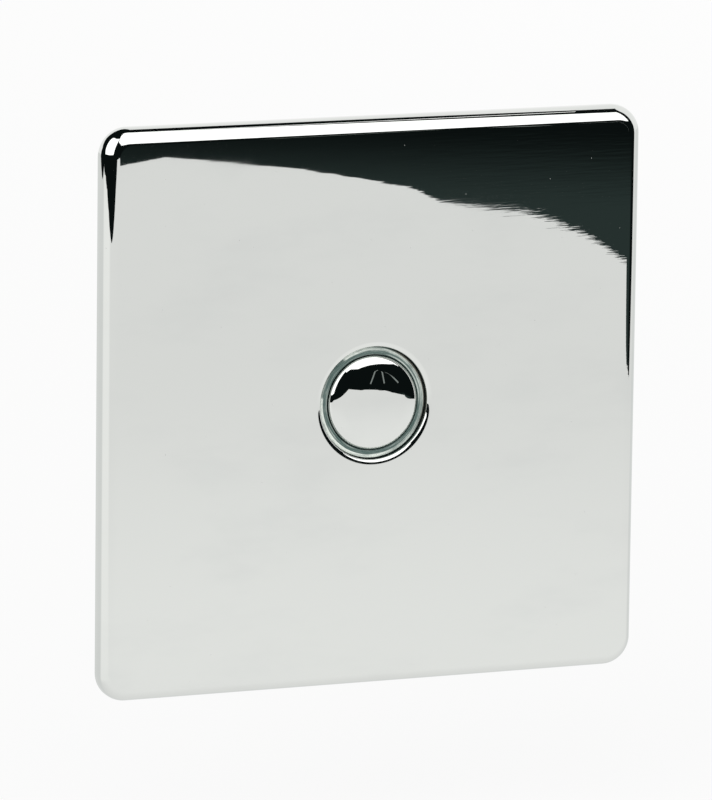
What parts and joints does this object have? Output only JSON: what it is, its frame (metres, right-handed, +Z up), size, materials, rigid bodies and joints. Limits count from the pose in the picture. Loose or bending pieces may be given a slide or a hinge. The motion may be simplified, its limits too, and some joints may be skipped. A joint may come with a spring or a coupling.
{
  "type": "touch dimmer switch",
  "caption": "Square chrome wall dimmer with no visible screws: a domed push button in a clear light ring, clipped over a steel frame and a closed module with wire terminals.",
  "frame": {"origin": "centre of the plate on the wall surface, midway between the two wall-box screws", "axes": "+X to the viewer's right, +Z up, +Y into the wall; the front faces -Y"},
  "size_m": [0.086, 0.027, 0.086],
  "materials": {
    "polished_chrome": "polished chrome plate",
    "clear_acrylic": "clear moulded acrylic",
    "black_nylon": "moulded black nylon",
    "zinc_steel": "bright zinc plated steel",
    "plated_screw": "nickel plated steel",
    "sink_aluminium": "mill finish aluminium",
    "housing_plastic": "fine sparked charcoal moulding",
    "block_plastic": "moulded grey nylon",
    "natural_nylon": "natural nylon",
    "board_laminate": "solder mask on glass laminate",
    "lamp_lens": "lamp lens",
    "ferrite": "sintered ferrite",
    "copper_wire": "enamelled copper",
    "component_case": "filled component case",
    "fuse_ceramic": "ceramic fuse tube",
    "pad_silicone": "silicone pad",
    "terminal_brass": "turned brass"
  },
  "bodies": {
    "base": {"front_plate": "polished_chrome", "light_ring": "clear_acrylic", "plate_liner": "black_nylon", "button_carrier": "black_nylon", "switch_body": "black_nylon", "triac": "black_nylon", "control_chip": "black_nylon", "mounting_frame": "zinc_steel", "fixing_screws": "plated_screw", "housing_screws": "plated_screw", "terminal_screws": "plated_screw", "triac_screw": "plated_screw", "earth_screw": "plated_screw", "heat_sink": "sink_aluminium", "smoothing_capacitor": "sink_aluminium", "rear_housing": "housing_plastic", "terminal_block": "block_plastic", "circuit_board": "board_laminate", "indicator_leds": "lamp_lens", "choke_core": "ferrite", "choke_winding": "copper_wire", "suppression_capacitor": "component_case", "dropper_resistor": "component_case", "fuse": "fuse_ceramic", "triac_pad": "pad_silicone", "live_terminal": "terminal_brass", "load_terminal": "terminal_brass", "strapping_terminal": "terminal_brass", "earth_terminal": "terminal_brass"},
    "button": {"button_cap": "polished_chrome", "button_slider": "natural_nylon", "switch_actuator": "natural_nylon"}
  },
  "joints": [
    {"name": "button_press", "type": "slide", "parent": "base", "child": "button", "axis": [0, 1, 0], "range_m": [0, 0.0005], "stiffness_N_per_m": 800, "springref_m": -0.001}
  ]
}
